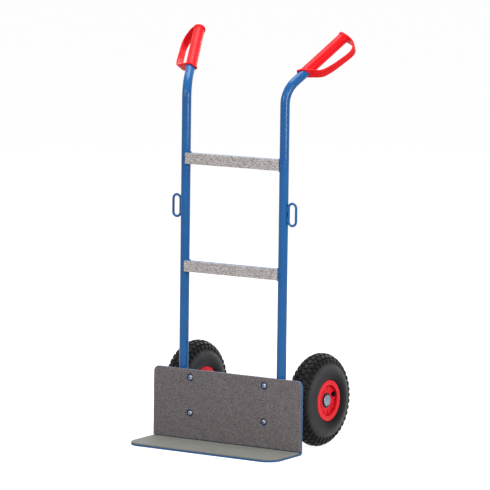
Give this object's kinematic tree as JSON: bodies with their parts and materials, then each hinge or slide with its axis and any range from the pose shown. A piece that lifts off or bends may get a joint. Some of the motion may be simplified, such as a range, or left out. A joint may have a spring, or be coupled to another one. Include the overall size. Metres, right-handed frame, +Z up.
{
  "type": "appliance hand truck",
  "caption": "Two-wheeled upright hand truck with bent tube frame, padded rungs, felt-faced toe plate, guarded grips and air-filled wheels, for moving appliances.",
  "frame": {"origin": "on the floor, in the middle of the overall width and depth", "axes": "+Z up, +X to the right seen from the toe's side, +Y from the toe towards the wheels"},
  "size_m": [0.5656, 0.4174, 1.1397],
  "materials": {
    "blue_paint": "gloss powder coat",
    "red_grip": "glossy moulding",
    "red_rim": "satin moulding",
    "black_plastic": "matt moulding",
    "tyre_rubber": "matt, block tread",
    "soft_rubber": "matt",
    "pad_felt": "speckled light felt",
    "carpet_felt": "mottled felt",
    "mat_rubber": "smooth matt sheet",
    "zinc_steel": "zinc plated"
  },
  "bodies": {
    "frame": {"axle": "zinc_steel", "axle_washers": "black_plastic", "left_axle_bracket": "blue_paint", "left_axle_spacer": "zinc_steel", "left_foot_plug": "black_plastic", "left_grip": "red_grip", "left_hub_cap": "zinc_steel", "left_strap_ring": "blue_paint", "left_upright": "blue_paint", "lower_crossbar": "blue_paint", "lower_rung": "blue_paint", "lower_rung_pad": "pad_felt", "plate_bolts": "zinc_steel", "plate_carpet": "carpet_felt", "plate_nuts": "zinc_steel", "plate_washers": "zinc_steel", "right_axle_bracket": "blue_paint", "right_axle_spacer": "zinc_steel", "right_foot_plug": "black_plastic", "right_grip": "red_grip", "right_hub_cap": "zinc_steel", "right_strap_ring": "blue_paint", "right_upright": "blue_paint", "toe_mat": "mat_rubber", "toe_plate": "blue_paint", "upper_crossbar": "blue_paint", "upper_rung": "blue_paint", "upper_rung_pad": "pad_felt"},
    "left_wheel": {"left_tyre": "tyre_rubber", "left_inner_tube": "soft_rubber", "left_valve": "soft_rubber", "left_rim_outer": "red_rim", "left_rim_inner": "red_rim", "left_rim_screws": "zinc_steel", "left_hub_sleeve": "zinc_steel", "left_roller_cage": "black_plastic", "left_rollers": "zinc_steel"},
    "right_wheel": {"right_tyre": "tyre_rubber", "right_inner_tube": "soft_rubber", "right_valve": "soft_rubber", "right_rim_outer": "red_rim", "right_rim_inner": "red_rim", "right_rim_screws": "zinc_steel", "right_hub_sleeve": "zinc_steel", "right_roller_cage": "black_plastic", "right_rollers": "zinc_steel"}
  },
  "joints": [
    {"name": "left_wheel_spin", "type": "hinge", "parent": "frame", "child": "left_wheel", "pos_m": [-0.2055, 0.07975, 0.129], "axis": [1, 0, 0], "continuous": true},
    {"name": "right_wheel_spin", "type": "hinge", "parent": "frame", "child": "right_wheel", "pos_m": [0.2055, 0.07975, 0.129], "axis": [1, 0, 0], "continuous": true}
  ]
}
